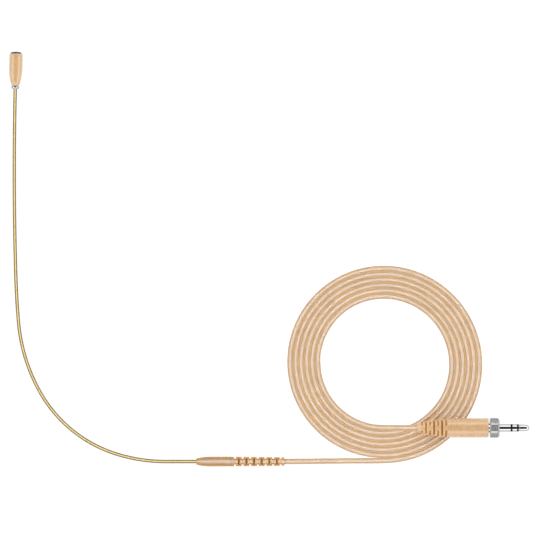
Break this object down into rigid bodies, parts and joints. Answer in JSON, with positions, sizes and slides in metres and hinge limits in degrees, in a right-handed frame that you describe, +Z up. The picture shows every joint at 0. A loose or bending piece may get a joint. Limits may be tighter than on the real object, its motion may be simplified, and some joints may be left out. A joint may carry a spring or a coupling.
{
  "type": "headset microphone",
  "caption": "Slim headset microphone with a bendable gold boom, a small beige capsule, a coiled thin cable and a locking 3.5 mm plug.",
  "frame": {"origin": "on the table, under the middle of the box round the capsule, boom and junction", "axes": "+Z up from the table, +Y towards the front of the capsule, +X along the plug"},
  "size_m": [0.2443, 0.1949, 0.0117],
  "materials": {
    "capsule_plastic": "satin moulded plastic",
    "boot_rubber": "smooth soft moulding",
    "cable_jacket": "smooth extruded jacket",
    "connector_shell": "satin moulded plastic",
    "boom_gold": "satin gold",
    "wire_insulation": "smooth",
    "chrome": "polished",
    "plug_metal": "polished",
    "insulator": "satin black",
    "grille_mesh": "dark woven wire",
    "felt": "fine black cloth",
    "cartridge_aluminium": "drawn can",
    "sleeve_rubber": "matte",
    "diaphragm_film": "metallised film",
    "holder_plastic": "moulded",
    "contact_brass": "plated",
    "board_laminate": "glass laminate",
    "chip_plastic": "moulded",
    "solder": "bright solder",
    "chassis_metal": "nickel plated"
  },
  "bodies": {
    "cable_and_plug": {"junction_boot": "boot_rubber", "junction_ferrule": "contact_brass", "wire_splices": "solder", "boom_tube_1": "boom_gold", "boom_wires_1": "wire_insulation", "cable_lead": "cable_jacket", "cable_coil": "cable_jacket", "cable_tail": "cable_jacket", "connector_boot": "boot_rubber", "cable_crimp": "contact_brass", "rear_shell": "connector_shell", "front_shell": "connector_shell", "plug_chassis": "chassis_metal", "plug_sleeve": "plug_metal", "rear_insulator": "insulator", "plug_ring": "plug_metal", "front_insulator": "insulator", "plug_tip": "plug_metal", "terminal_block": "insulator", "solder_lugs": "contact_brass", "connector_wires": "wire_insulation"},
    "boom_near": {"boom_tube_2": "boom_gold", "boom_wires_2": "wire_insulation"},
    "boom_middle": {"boom_tube_3": "boom_gold", "boom_wires_3": "wire_insulation"},
    "boom_far": {"boom_tube_4": "boom_gold", "boom_wires_4": "wire_insulation"},
    "capsule": {"boom_tube_5": "boom_gold", "boom_wires_5": "wire_insulation", "capsule_collar": "chrome", "capsule_tail": "capsule_plastic", "capsule_shell": "capsule_plastic", "front_grille": "grille_mesh", "grille_felt": "felt", "cartridge_can": "cartridge_aluminium", "cartridge_sleeve": "sleeve_rubber", "diaphragm": "diaphragm_film", "spacer_ring": "holder_plastic", "backplate": "contact_brass", "backplate_holder": "holder_plastic", "cartridge_board": "board_laminate", "cartridge_chip": "chip_plastic", "capsule_wires": "wire_insulation"},
    "nut": {"locking_nut": "chrome"}
  },
  "joints": [
    {"name": "boom_bend_1", "type": "hinge", "parent": "cable_and_plug", "child": "boom_near", "pos_m": [0.009, -0.0953, 0.00228], "axis": [0.0015, -0.004, 1], "range_deg": [-20, 20]},
    {"name": "boom_bend_2", "type": "hinge", "parent": "boom_near", "child": "boom_middle", "pos_m": [-0.03396, -0.08138, 0.0024], "axis": [0.0015, -0.004, 1], "range_deg": [-25, 25]},
    {"name": "boom_lift", "type": "hinge", "parent": "boom_middle", "child": "boom_far", "pos_m": [-0.06021, -0.0296, 0.00265], "axis": [0.9964, 0.0852, -0.0011], "range_deg": [0, 30]},
    {"name": "capsule_bend", "type": "hinge", "parent": "boom_far", "child": "capsule", "pos_m": [-0.06214, 0.05066, 0.00297], "axis": [0.0015, -0.004, 1], "range_deg": [-25, 25]},
    {"name": "nut_turn", "type": "hinge", "parent": "cable_and_plug", "child": "nut", "pos_m": [0.1638, -0.07935, 0.0071], "axis": [1, 0, 0], "continuous": true}
  ]
}
